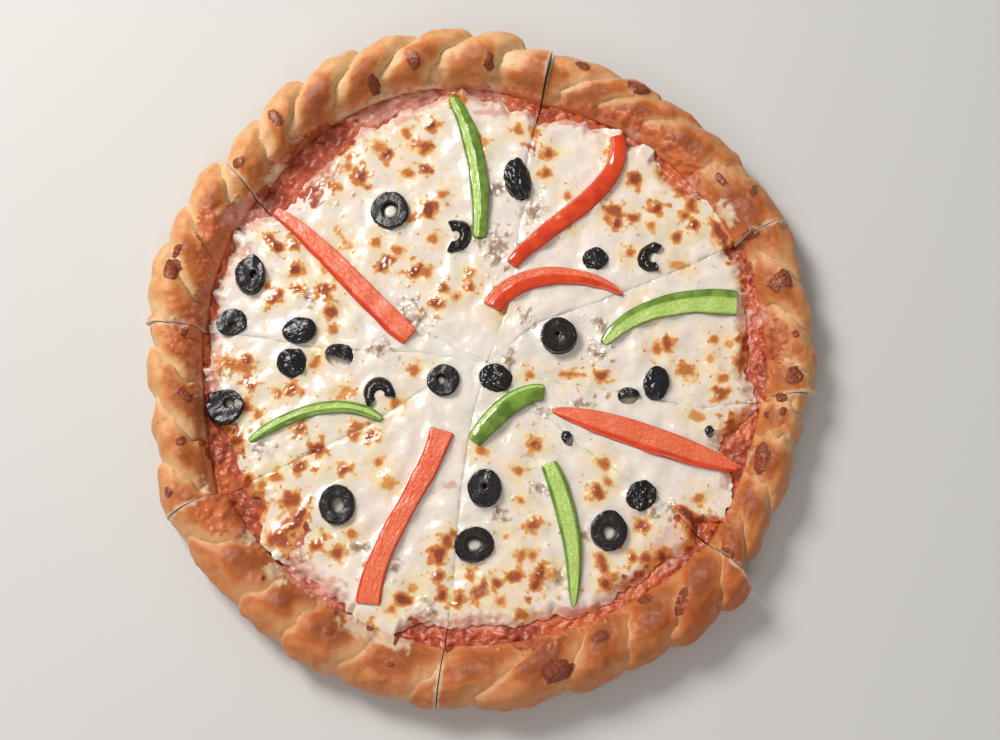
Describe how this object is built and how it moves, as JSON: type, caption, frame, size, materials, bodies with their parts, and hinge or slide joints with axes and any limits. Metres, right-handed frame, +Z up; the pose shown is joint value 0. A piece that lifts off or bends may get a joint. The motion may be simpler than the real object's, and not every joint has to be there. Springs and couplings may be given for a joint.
{
  "type": "vegetarian pizza",
  "caption": "Round vegetarian pizza cut into slices that keep the round: twisted baked rim, tomato sauce, toasted melted cheese, black olives, red and green pepper strips.",
  "frame": {"origin": "bottom centre of the box round the pizza, on the surface that it lies on", "axes": "+Z up, +Y to the back of the pizza as the picture shows it, +X to the right"},
  "size_m": [0.3016, 0.3148, 0.0273],
  "materials": {
    "baked_dough": "baked bread dough: matt, golden to brown on its crowns, pale and floury in its creases",
    "tomato_sauce": "cooked tomato sauce: glossy red, browned at its edges",
    "melted_cheese": "melted white cheese: soft satin, oily, with toasted golden to brown spots",
    "black_olive": "sliced black olive: smooth, oily black",
    "red_pepper": "cooked red bell pepper: glossy skin, moist flesh",
    "green_pepper": "cooked green bell pepper: glossy skin, pale flesh"
  },
  "bodies": {
    "root": {"dough_slice_1": "baked_dough", "sauce_slice_1": "tomato_sauce", "cheese_slice_1": "melted_cheese", "dough_slice_2": "baked_dough", "sauce_slice_2": "tomato_sauce", "cheese_slice_2": "melted_cheese", "dough_slice_3": "baked_dough", "sauce_slice_3": "tomato_sauce", "cheese_slice_3": "melted_cheese", "dough_slice_4": "baked_dough", "sauce_slice_4": "tomato_sauce", "cheese_slice_4": "melted_cheese", "dough_slice_5": "baked_dough", "sauce_slice_5": "tomato_sauce", "cheese_slice_5": "melted_cheese", "dough_slice_6": "baked_dough", "sauce_slice_6": "tomato_sauce", "cheese_slice_6": "melted_cheese", "dough_slice_7": "baked_dough", "sauce_slice_7": "tomato_sauce", "cheese_slice_7": "melted_cheese", "dough_slice_8": "baked_dough", "sauce_slice_8": "tomato_sauce", "cheese_slice_8": "melted_cheese", "olive_01": "black_olive", "olive_02": "black_olive", "olive_03": "black_olive", "olive_04": "black_olive", "olive_05": "black_olive", "olive_06": "black_olive", "olive_07": "black_olive", "olive_08": "black_olive", "olive_09": "black_olive", "olive_10": "black_olive", "olive_11": "black_olive", "olive_12": "black_olive", "olive_13": "black_olive", "olive_14": "black_olive", "olive_15": "black_olive", "olive_16": "black_olive", "olive_17": "black_olive", "olive_18": "black_olive", "olive_19": "black_olive", "olive_20": "black_olive", "olive_21": "black_olive", "olive_22": "black_olive", "olive_23": "black_olive", "olive_24": "black_olive", "red_pepper_1": "red_pepper", "red_pepper_2": "red_pepper", "red_pepper_3": "red_pepper", "red_pepper_4": "red_pepper", "red_pepper_5": "red_pepper", "green_pepper_1": "green_pepper", "green_pepper_2": "green_pepper", "green_pepper_3": "green_pepper", "green_pepper_4": "green_pepper", "green_pepper_5": "green_pepper"}
  },
  "joints": []
}
